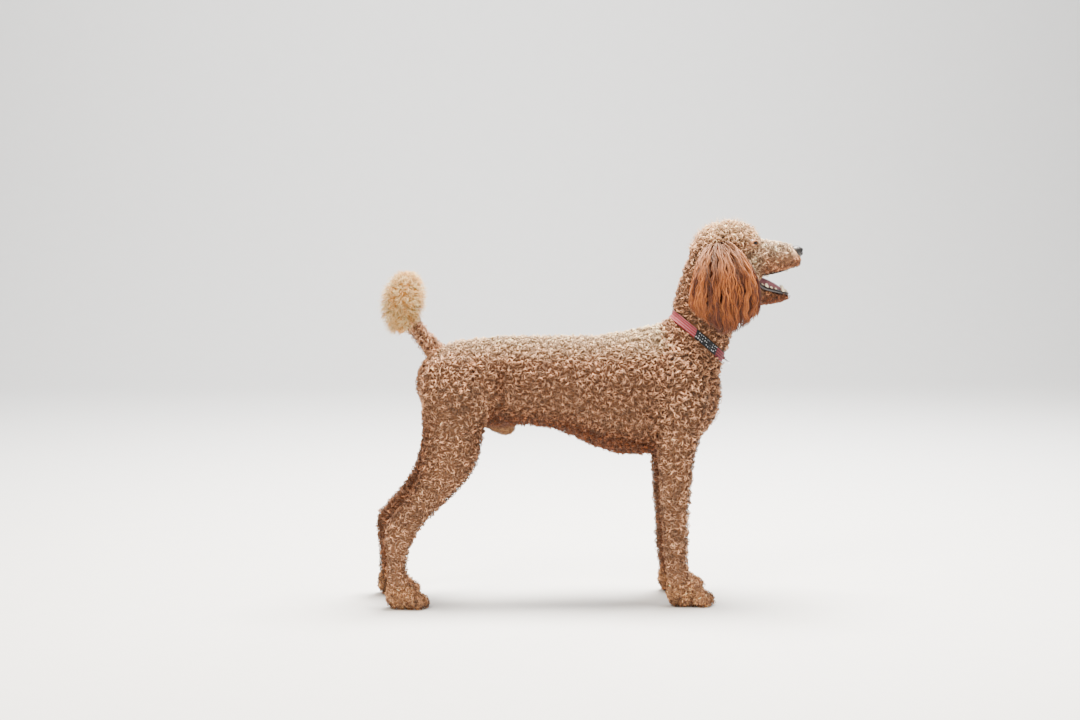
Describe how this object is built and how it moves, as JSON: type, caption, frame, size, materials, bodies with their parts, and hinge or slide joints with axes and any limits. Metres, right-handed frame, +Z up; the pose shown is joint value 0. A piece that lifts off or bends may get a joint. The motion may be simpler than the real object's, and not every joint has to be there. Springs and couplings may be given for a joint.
{
  "type": "standard poodle",
  "caption": "Life-size standing standard poodle in a short curly clip, with long feathered ears, a pompon on its raised tail, an open mouth and a webbing collar.",
  "frame": {"origin": "on the floor, under the middle of the dog's box", "axes": "+X towards the nose, +Y towards the dog's left side, +Z up"},
  "size_m": [0.9722, 0.236, 0.863],
  "materials": {
    "coat": "curly hair, matt",
    "ear_coat": "long wavy hair, soft sheen",
    "pompon_coat": "fluffy hair, matt",
    "nose_leather": "moist, pebbled",
    "eye": "wet, clear over dark brown",
    "tongue": "moist",
    "collar_webbing": "woven, with stripes and small pale dots",
    "ring_steel": "polished steel"
  },
  "bodies": {
    "root": {"torso": "coat", "neck": "coat", "head": "coat", "lower_jaw": "coat", "tail": "coat", "tail_pompon": "pompon_coat", "front_leg_right": "coat", "front_paw_right": "coat", "thigh_right": "coat", "hind_shank_right": "coat", "hind_pastern_right": "coat", "hind_paw_right": "coat", "ear_right": "ear_coat", "eye_right": "eye", "front_leg_left": "coat", "front_paw_left": "coat", "thigh_left": "coat", "hind_shank_left": "coat", "hind_pastern_left": "coat", "hind_paw_left": "coat", "ear_left": "ear_coat", "eye_left": "eye", "nose": "nose_leather", "tongue": "tongue", "collar": "collar_webbing", "collar_ring": "ring_steel"}
  },
  "joints": []
}
